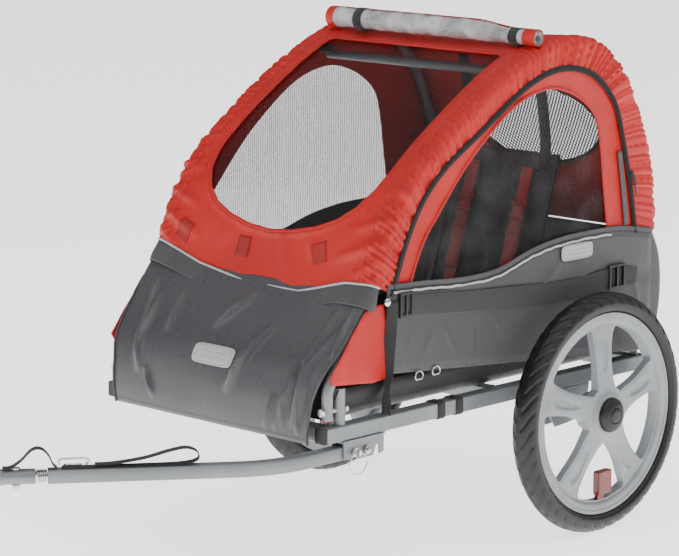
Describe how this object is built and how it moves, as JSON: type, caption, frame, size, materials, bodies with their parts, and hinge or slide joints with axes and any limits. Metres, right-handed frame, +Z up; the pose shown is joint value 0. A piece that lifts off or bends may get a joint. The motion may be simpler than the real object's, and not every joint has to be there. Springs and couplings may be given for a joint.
{
  "type": "child bicycle trailer",
  "caption": "Two-wheeled child trailer towed by a bicycle: folding tube frame under a cloth cover with windows, seat sling, clip-on moulded wheels and a bent side tow arm with sprung coupler.",
  "frame": {"origin": "on the ground under the middle of the whole trailer's box, tow arm included", "axes": "+X the way it travels, toward the coupler; +Y its left side, where the tow arm is fixed; +Z up; the wheels turn about Y"},
  "size_m": [1.272, 0.7002, 0.8595],
  "materials": {
    "silver_steel": "silver powder coat, satin",
    "zinc": "zinc plated",
    "chrome": "polished",
    "black_plastic": "moulded, matte",
    "wheel_plastic": "moulded silver-grey, satin",
    "tyre": "black tread rubber",
    "cap_rubber": "matte black",
    "red_lens": "red prismatic lens",
    "red_cloth": "coated woven polyester",
    "grey_cloth": "coated woven polyester",
    "black_cloth": "woven polyester and webbing",
    "mesh": "open net",
    "vinyl": "clear flexible vinyl"
  },
  "bodies": {
    "frame": {"rail_left": "silver_steel", "rail_right": "silver_steel", "plug_front_left": "black_plastic", "plug_front_right": "black_plastic", "plug_rear_left": "black_plastic", "plug_rear_right": "black_plastic", "front_pivot_bolt_left": "zinc", "front_pivot_bolt_right": "zinc", "rear_pivot_bolt_left": "zinc", "rear_pivot_bolt_right": "zinc", "axle_bracket_left": "silver_steel", "axle_bracket_right": "silver_steel", "axle_left": "zinc", "axle_right": "zinc", "cross_tube_front": "silver_steel", "cross_tube_middle": "silver_steel", "cross_tube_rear": "silver_steel", "tow_bracket": "silver_steel", "arm_pivot_bolt": "zinc", "floor_panel": "black_cloth", "seat_cushion": "grey_cloth", "cover": "red_cloth", "window_left": "vinyl", "window_right": "mesh", "rear_window": "mesh", "front_screen": "mesh", "front_panel": "grey_cloth", "rear_panel": "grey_cloth", "side_panel_left": "grey_cloth", "side_panel_right": "grey_cloth", "rain_cover_roll": "red_cloth", "seat_sling": "grey_cloth", "harness": "red_cloth"},
    "left_side_frame": {"side_frame_left": "silver_steel", "spreader_hinge_bracket": "silver_steel", "spreader_pin": "zinc"},
    "right_side_frame": {"side_frame_right": "silver_steel", "spreader_saddle": "silver_steel"},
    "spreader": {"spreader_bar": "silver_steel"},
    "left_wheel": {"tyre_left": "tyre", "wheel_rim_left": "wheel_plastic", "hub_cap_left": "cap_rubber", "reflector_left": "red_lens"},
    "right_wheel": {"tyre_right": "tyre", "wheel_rim_right": "wheel_plastic", "hub_cap_right": "cap_rubber", "reflector_right": "red_lens"},
    "left_button": {"hub_button_left": "black_plastic"},
    "right_button": {"hub_button_right": "black_plastic"},
    "tow_arm": {"tow_arm": "silver_steel", "safety_strap_front": "black_cloth", "safety_strap_loop": "black_cloth", "snap_hook": "chrome", "hitch_spring": "zinc"},
    "hitch_pin": {"hitch_pin": "zinc"},
    "pin_ring": {"pin_ring": "zinc"},
    "hitch": {"coupler": "silver_steel", "coupler_bolt": "zinc"},
    "snap_gate": {"snap_gate": "chrome"}
  },
  "joints": [
    {"name": "left_side_fold", "type": "hinge", "parent": "frame", "child": "left_side_frame", "pos_m": [-0.1889, 0.24, 0.288], "axis": [1, 0, 0], "range_deg": [0, 76], "deforming": ["cover", "window_left", "window_right", "rear_window", "front_screen", "front_panel", "rear_panel", "side_panel_left", "side_panel_right", "rain_cover_roll", "seat_sling", "harness"]},
    {"name": "right_side_fold", "type": "hinge", "parent": "frame", "child": "right_side_frame", "pos_m": [-0.1889, -0.24, 0.288], "axis": [1, 0, 0], "range_deg": [-49.4, 0]},
    {"name": "spreader_swing", "type": "hinge", "parent": "left_side_frame", "child": "spreader", "pos_m": [-0.2889, 0.214, 0.772], "axis": [0.4809, 0, 0.8768], "range_deg": [0, 90]},
    {"name": "left_wheel_spin", "type": "hinge", "parent": "frame", "child": "left_wheel", "pos_m": [-0.3889, 0.3082, 0.203], "axis": [0, 1, 0], "continuous": true},
    {"name": "right_wheel_spin", "type": "hinge", "parent": "frame", "child": "right_wheel", "pos_m": [-0.3889, -0.3082, 0.203], "axis": [0, 1, 0], "continuous": true},
    {"name": "left_button_press", "type": "slide", "parent": "left_wheel", "child": "left_button", "axis": [0, -1, 0], "range_m": [0, 0.004], "stiffness_N_per_m": 800},
    {"name": "right_button_press", "type": "slide", "parent": "right_wheel", "child": "right_button", "axis": [0, 1, 0], "range_m": [0, 0.004], "stiffness_N_per_m": 800},
    {"name": "tow_arm_fold", "type": "hinge", "parent": "frame", "child": "tow_arm", "pos_m": [0.1151, 0.2403, 0.219], "axis": [0, 1, 0], "range_deg": [0, 178]},
    {"name": "hitch_pin_pull", "type": "slide", "parent": "tow_arm", "child": "hitch_pin", "axis": [0, 1, 0], "range_m": [0, 0.036]},
    {"name": "pin_ring_swing", "type": "hinge", "parent": "hitch_pin", "child": "pin_ring", "pos_m": [0.1411, 0.2633, 0.219], "axis": [1, 0, 0], "range_deg": [-8, 85]},
    {"name": "hitch_flex", "type": "hinge", "parent": "tow_arm", "child": "hitch", "pos_m": [0.57757, 0.02088, 0.219], "axis": [0, 0, 1], "range_deg": [-30, 30], "stiffness_Nm_per_rad": 6, "deforming": ["hitch_spring", "safety_strap_front"]},
    {"name": "snap_gate_open", "type": "hinge", "parent": "tow_arm", "child": "snap_gate", "pos_m": [0.53001, 0.05827, 0.2355], "axis": [-0.6181, -0.7861, 0], "range_deg": [0, 11], "stiffness_Nm_per_rad": 0.03}
  ],
  "couplings": [
    {"joint": "right_side_fold", "follows": "left_side_fold", "ratio": -0.65},
    {"joint": "spreader_swing", "follows": "left_side_fold", "ratio": 1.184}
  ]
}
